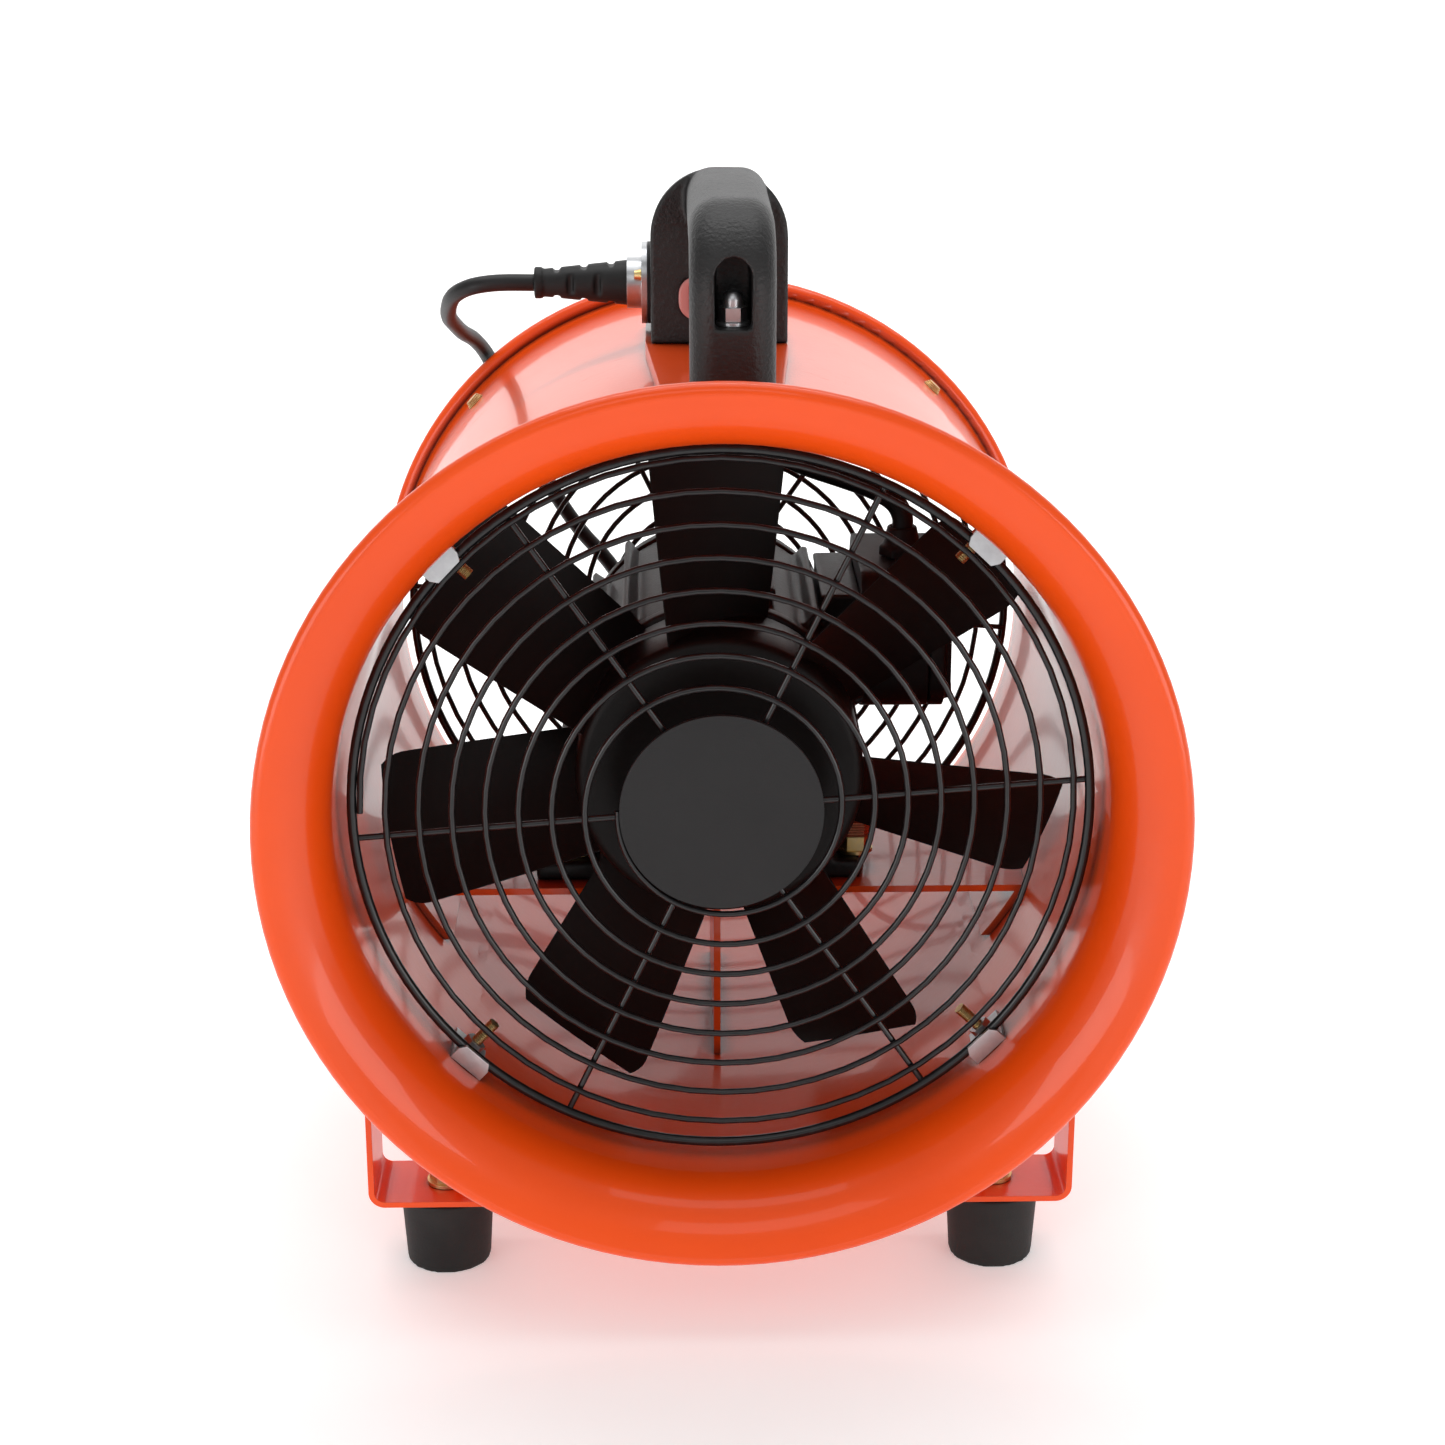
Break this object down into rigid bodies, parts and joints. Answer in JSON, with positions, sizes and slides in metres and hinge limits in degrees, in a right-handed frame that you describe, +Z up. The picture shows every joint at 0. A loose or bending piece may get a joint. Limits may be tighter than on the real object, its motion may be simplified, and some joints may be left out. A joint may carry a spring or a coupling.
{
  "type": "portable axial ventilator",
  "caption": "Portable axial air mover: sheet steel duct with bellmouth inlet, spiral wire guards, motor and impeller inside, strap stands, carry handle with rocker switch, mains lead",
  "frame": {"origin": "on the floor, midway between the bellmouth lip and the rear rim, under the fan axis", "axes": "+Z up, fan axis along Y with the bellmouth inlet facing -Y, +X to the right as seen from the inlet"},
  "size_m": [0.3651, 0.4816, 0.454],
  "materials": {
    "orange_coat": "gloss powder coat",
    "black_wire": "gloss black coat",
    "disc_grey": "satin dark grey",
    "motor_black": "satin black enamel",
    "impeller_black": "moulded, slightly satin",
    "case_black": "moulded",
    "handle_grey": "fine grain",
    "zinc": "zinc plated",
    "yellow_zinc": "yellow zinc plated",
    "copper": "copper",
    "steel": "machined",
    "can": "drawn can",
    "foot_rubber": "matt",
    "seal_rubber": "matt",
    "cord_rubber": "matt",
    "pin_brass": "plain",
    "bezel_pink": "translucent",
    "rocker_red": "gloss"
  },
  "bodies": {
    "housing": {"duct_housing": "orange_coat", "motor_shelf": "orange_coat", "shelf_rib": "orange_coat", "front_stand": "orange_coat", "rear_stand": "orange_coat", "foot_front_left": "foot_rubber", "foot_front_right": "foot_rubber", "foot_rear_left": "foot_rubber", "foot_rear_right": "foot_rubber", "foot_bolts": "yellow_zinc", "foot_nuts": "yellow_zinc", "front_guard": "black_wire", "front_guard_disc": "disc_grey", "rear_guard": "black_wire", "rear_guard_disc": "disc_grey", "front_guard_clips": "zinc", "rear_guard_clips": "zinc", "clip_screws": "yellow_zinc", "clip_nuts": "zinc", "motor_body": "motor_black", "motor_front_bell": "motor_black", "motor_rear_bell": "motor_black", "end_bell_screws": "zinc", "motor_bolts": "yellow_zinc", "motor_nuts": "yellow_zinc", "earth_stud": "copper", "stator_core": "steel", "stator_windings": "copper", "front_bearing": "steel", "rear_bearing": "steel", "capacitor_box": "case_black", "capacitor_lid": "case_black", "capacitor_lid_screws": "zinc", "run_capacitor": "can", "capacitor_gland": "case_black", "motor_cable": "cord_rubber", "duct_grommet": "seal_rubber", "handle_bracket": "orange_coat", "handle_body": "handle_grey", "switch_box_cover": "handle_grey", "cover_screws": "zinc", "switch_box_screws": "zinc", "handle_bolt": "zinc", "handle_washer": "zinc", "acorn_nut": "zinc", "switch_bezel": "bezel_pink", "gland_gasket": "seal_rubber", "gland_plate": "zinc", "gland_screws": "yellow_zinc", "strain_relief": "seal_rubber", "power_cord": "cord_rubber", "cord_coil": "cord_rubber", "plug_body": "cord_rubber", "plug_pins": "pin_brass"},
    "impeller": {"impeller": "impeller_black", "hub_bolt": "zinc", "motor_shaft": "steel", "shaft_key": "steel", "rotor_core": "steel"},
    "rocker": {"switch_rocker": "rocker_red"}
  },
  "joints": [
    {"name": "impeller_spin", "type": "hinge", "parent": "housing", "child": "impeller", "pos_m": [0, -0.072, 0.2175], "axis": [0, 1, 0], "continuous": true},
    {"name": "rocker_pivot", "type": "hinge", "parent": "housing", "child": "rocker", "pos_m": [0.002, 0.012, 0.3985], "axis": [0, 0, -1], "range_deg": [0, 16]}
  ]
}
